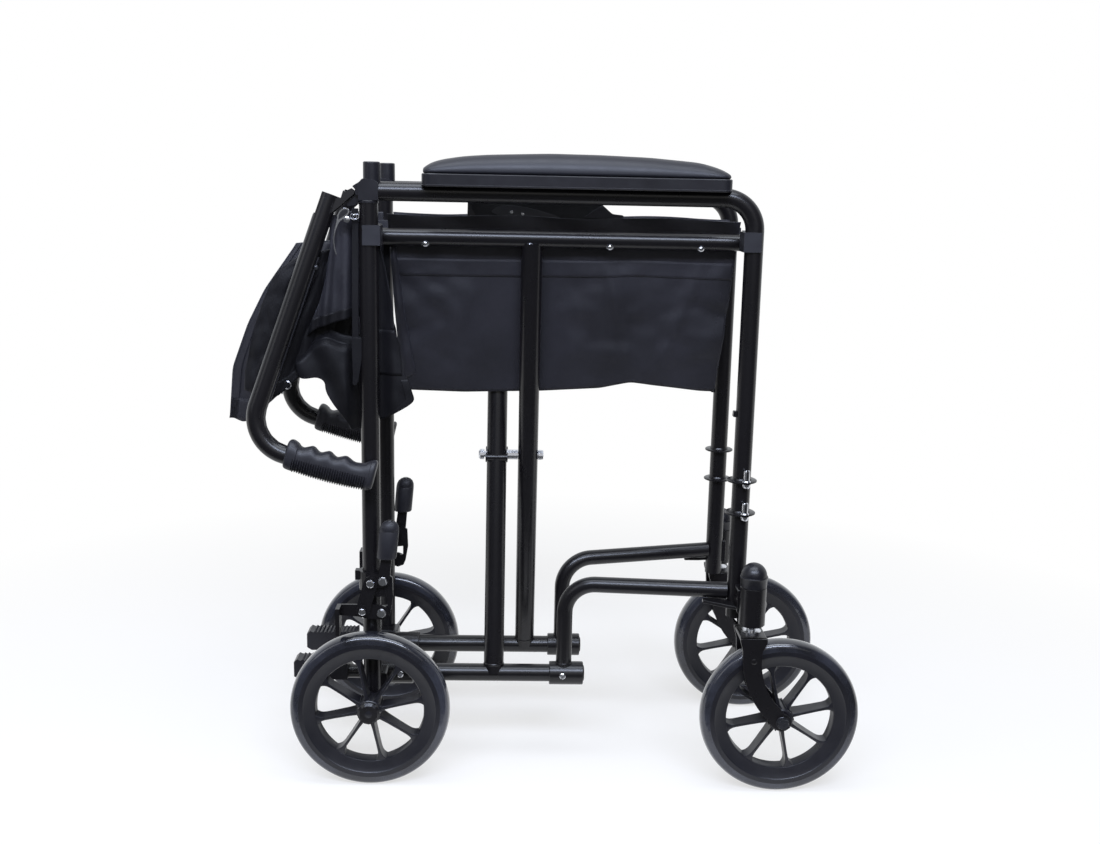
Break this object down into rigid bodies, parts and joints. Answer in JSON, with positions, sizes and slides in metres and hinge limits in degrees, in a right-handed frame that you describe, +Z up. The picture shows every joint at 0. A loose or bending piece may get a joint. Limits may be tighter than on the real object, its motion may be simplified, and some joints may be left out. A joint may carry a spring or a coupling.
{
  "type": "folding wheelchair",
  "caption": "Attendant-propelled folding wheelchair, stored folded: cross-braced tube frame, small wheels, hanging fabric seat, padded armrests and fold-down push handles.",
  "frame": {"origin": "centre of the bounding box at the floor, between the folded side frames", "axes": "+X towards the front of the chair, +Z up, -Y towards the chair's right side"},
  "size_m": [0.7912, 0.311, 0.7708],
  "materials": {
    "black_paint": "satin black paint on steel tube",
    "black_plastic": "moulded, fine texture",
    "grip_rubber": "matte",
    "tyre": "glossy dark grey",
    "nylon": "woven black nylon",
    "vinyl": "satin moulded skin over foam",
    "zinc": "zinc plated"
  },
  "bodies": {
    "right_frame": {"right_frame_tube": "black_paint", "right_rear_post": "black_paint", "right_stretcher_tube": "black_paint", "right_rear_fitting": "black_paint", "right_tipping_pedal": "black_plastic", "right_caster_housing": "black_paint", "right_arm_base": "black_plastic", "right_arm_pad": "vinyl", "right_back_hinge": "black_plastic", "right_brake_bracket": "black_paint", "right_rear_axle": "black_paint", "right_back_flap": "nylon"},
    "right_guides": {"right_guide_rear": "black_plastic", "right_guide_front": "black_plastic"},
    "right_seat": {"right_seat_panel": "nylon", "seat_belt": "nylon"},
    "right_cane": {"right_back_cane": "black_paint", "right_hand_grip": "grip_rubber"},
    "right_back_outer": {"right_back_outer": "nylon"},
    "right_back_inner": {"right_back_inner": "nylon"},
    "right_release_lever": {"right_release_lever": "zinc"},
    "right_brake_lever": {"right_brake_lever": "black_paint"},
    "right_brake_link": {"right_brake_link": "black_paint"},
    "right_brake_shoe": {"right_brake_shoe": "black_paint"},
    "right_fork": {"right_fork": "black_paint"},
    "right_front_wheel": {"right_front_rim": "black_plastic", "right_front_tyre": "tyre"},
    "right_rear_wheel": {"right_rear_rim": "black_plastic", "right_rear_tyre": "tyre"},
    "left_frame": {"left_frame_tube": "black_paint", "left_rear_post": "black_paint", "left_stretcher_tube": "black_paint", "left_rear_fitting": "black_paint", "left_tipping_pedal": "black_plastic", "left_caster_housing": "black_paint", "left_arm_base": "black_plastic", "left_arm_pad": "vinyl", "left_back_hinge": "black_plastic", "left_brake_bracket": "black_paint", "left_rear_axle": "black_paint", "left_back_flap": "nylon"},
    "left_guides": {"left_guide_rear": "black_plastic", "left_guide_front": "black_plastic"},
    "left_seat": {"left_seat_panel": "nylon"},
    "left_cane": {"left_back_cane": "black_paint", "left_hand_grip": "grip_rubber"},
    "left_back_outer": {"left_back_outer": "nylon"},
    "left_back_inner": {"left_back_inner": "nylon"},
    "left_release_lever": {"left_release_lever": "zinc"},
    "left_brake_lever": {"left_brake_lever": "black_paint"},
    "left_brake_link": {"left_brake_link": "black_paint"},
    "left_brake_shoe": {"left_brake_shoe": "black_paint"},
    "left_fork": {"left_fork": "black_paint"},
    "left_front_wheel": {"left_front_rim": "black_plastic", "left_front_tyre": "tyre"},
    "left_rear_wheel": {"left_rear_rim": "black_plastic", "left_rear_tyre": "tyre"},
    "cross_a": {"cross_member_a": "black_paint", "pivot_bolt": "zinc"},
    "cross_b": {"cross_member_b": "black_paint"}
  },
  "joints": [
    {"name": "fold", "type": "hinge", "parent": "right_frame", "child": "cross_a", "pos_m": [-0.05781, -0.049, 0.1188], "axis": [-1, 0, 0], "range_deg": [0, 39.74], "deforming": ["right_seat_panel", "left_seat_panel", "seat_belt", "right_back_outer", "right_back_inner", "right_back_flap", "left_back_outer", "left_back_inner", "left_back_flap"]},
    {"name": "brace_pivot", "type": "hinge", "parent": "cross_a", "child": "cross_b", "pos_m": [-0.01781, 0, 0.396], "axis": [1, 0, 0], "range_deg": [0, 79.49]},
    {"name": "left_frame_turn", "type": "hinge", "parent": "cross_b", "child": "left_frame", "pos_m": [-0.01781, 0.049, 0.1188], "axis": [-1, 0, 0], "range_deg": [0, 39.75]},
    {"name": "right_guide_turn", "type": "hinge", "parent": "cross_b", "child": "right_guides", "pos_m": [-0.00881, -0.049, 0.6732], "axis": [-1, 0, 0], "range_deg": [0, 39.75]},
    {"name": "right_seat_turn", "type": "hinge", "parent": "cross_b", "child": "right_seat", "pos_m": [-0.00881, -0.049, 0.6732], "axis": [1, 0, 0], "range_deg": [0, 32.28]},
    {"name": "right_back_fold", "type": "hinge", "parent": "right_frame", "child": "right_cane", "pos_m": [-0.2282, -0.086, 0.72472], "axis": [0, 0.999, -0.0454], "range_deg": [0, 161]},
    {"name": "right_back_outer_turn", "type": "hinge", "parent": "right_cane", "child": "right_back_outer", "pos_m": [-0.25281, -0.0866, 0.72203], "axis": [0.3252, 0.0882, 0.9415], "range_deg": [0, 56.18]},
    {"name": "right_back_inner_turn", "type": "hinge", "parent": "right_back_outer", "child": "right_back_inner", "pos_m": [-0.22365, -0.046, 0.60737], "axis": [-0.1155, 0, -0.9933], "range_deg": [0, 124.57]},
    {"name": "right_release", "type": "hinge", "parent": "right_frame", "child": "right_release_lever", "pos_m": [-0.23181, -0.1003, 0.694], "axis": [0, 1, 0], "range_deg": [0, 15]},
    {"name": "right_brake", "type": "hinge", "parent": "right_frame", "child": "right_brake_lever", "pos_m": [-0.19301, -0.1077, 0.2607], "axis": [0, -1, 0], "range_deg": [0, 9]},
    {"name": "right_brake_link_turn", "type": "hinge", "parent": "right_brake_lever", "child": "right_brake_link", "pos_m": [-0.20741, -0.1108, 0.2588], "axis": [0, 1, 0], "range_deg": [0, 10.13]},
    {"name": "right_brake_shoe_turn", "type": "hinge", "parent": "right_frame", "child": "right_brake_shoe", "pos_m": [-0.19471, -0.1077, 0.22], "axis": [0, -1, 0], "range_deg": [0, 5.03]},
    {"name": "right_caster_swivel", "type": "hinge", "parent": "right_frame", "child": "right_fork", "pos_m": [0.25719, -0.1245, 0.201], "axis": [0, 0, 1], "continuous": true},
    {"name": "right_front_wheel_spin", "type": "hinge", "parent": "right_fork", "child": "right_front_wheel", "pos_m": [0.29709, -0.1245, 0.0985], "axis": [0, 1, 0], "continuous": true},
    {"name": "right_rear_wheel_spin", "type": "hinge", "parent": "right_frame", "child": "right_rear_wheel", "pos_m": [-0.20881, -0.1135, 0.0985], "axis": [0, 1, 0], "continuous": true},
    {"name": "left_guide_turn", "type": "hinge", "parent": "cross_a", "child": "left_guides", "pos_m": [-0.00881, 0.049, 0.6732], "axis": [1, 0, 0], "range_deg": [0, 39.75]},
    {"name": "left_seat_turn", "type": "hinge", "parent": "cross_a", "child": "left_seat", "pos_m": [-0.00881, 0.049, 0.6732], "axis": [-1, 0, 0], "range_deg": [0, 32.28]},
    {"name": "left_back_fold", "type": "hinge", "parent": "left_frame", "child": "left_cane", "pos_m": [-0.2282, 0.086, 0.72472], "axis": [0, 0.999, 0.0454], "range_deg": [0, 161.01]},
    {"name": "left_back_outer_turn", "type": "hinge", "parent": "left_cane", "child": "left_back_outer", "pos_m": [-0.25281, 0.0866, 0.72203], "axis": [-0.3252, 0.0882, -0.9415], "range_deg": [0, 56.18]},
    {"name": "left_back_inner_turn", "type": "hinge", "parent": "left_back_outer", "child": "left_back_inner", "pos_m": [-0.22365, 0.046, 0.60737], "axis": [0.1155, 0, 0.9933], "range_deg": [0, 124.57]},
    {"name": "left_release", "type": "hinge", "parent": "left_frame", "child": "left_release_lever", "pos_m": [-0.23181, 0.1003, 0.694], "axis": [0, 1, 0], "range_deg": [0, 15]},
    {"name": "left_brake", "type": "hinge", "parent": "left_frame", "child": "left_brake_lever", "pos_m": [-0.19301, 0.1077, 0.2607], "axis": [0, -1, 0], "range_deg": [0, 9]},
    {"name": "left_brake_link_turn", "type": "hinge", "parent": "left_brake_lever", "child": "left_brake_link", "pos_m": [-0.20741, 0.1108, 0.2588], "axis": [0, 1, 0], "range_deg": [0, 10.13]},
    {"name": "left_brake_shoe_turn", "type": "hinge", "parent": "left_frame", "child": "left_brake_shoe", "pos_m": [-0.19471, 0.1077, 0.22], "axis": [0, -1, 0], "range_deg": [0, 5.03]},
    {"name": "left_caster_swivel", "type": "hinge", "parent": "left_frame", "child": "left_fork", "pos_m": [0.25719, 0.1245, 0.201], "axis": [0, 0, 1], "continuous": true},
    {"name": "left_front_wheel_spin", "type": "hinge", "parent": "left_fork", "child": "left_front_wheel", "pos_m": [0.29709, 0.1245, 0.0985], "axis": [0, 1, 0], "continuous": true},
    {"name": "left_rear_wheel_spin", "type": "hinge", "parent": "left_frame", "child": "left_rear_wheel", "pos_m": [-0.20881, 0.1135, 0.0985], "axis": [0, 1, 0], "continuous": true}
  ],
  "couplings": [
    {"joint": "brace_pivot", "follows": "fold", "ratio": 2},
    {"joint": "left_frame_turn", "follows": "fold", "ratio": 1},
    {"joint": "right_guide_turn", "follows": "fold", "ratio": 1},
    {"joint": "right_seat_turn", "follows": "fold", "ratio": 0.812},
    {"joint": "right_back_outer_turn", "follows": "fold", "ratio": 1.4135},
    {"joint": "right_back_inner_turn", "follows": "fold", "ratio": 3.1343},
    {"joint": "right_brake_link_turn", "follows": "right_brake", "ratio": 1.125},
    {"joint": "right_brake_shoe_turn", "follows": "right_brake", "ratio": 0.558},
    {"joint": "left_guide_turn", "follows": "fold", "ratio": 1},
    {"joint": "left_seat_turn", "follows": "fold", "ratio": 0.812},
    {"joint": "left_back_outer_turn", "follows": "fold", "ratio": 1.4135},
    {"joint": "left_back_inner_turn", "follows": "fold", "ratio": 3.1343},
    {"joint": "left_brake_link_turn", "follows": "left_brake", "ratio": 1.125},
    {"joint": "left_brake_shoe_turn", "follows": "left_brake", "ratio": 0.558},
    {"joint": "left_back_fold", "follows": "right_back_fold", "ratio": 1}
  ]
}
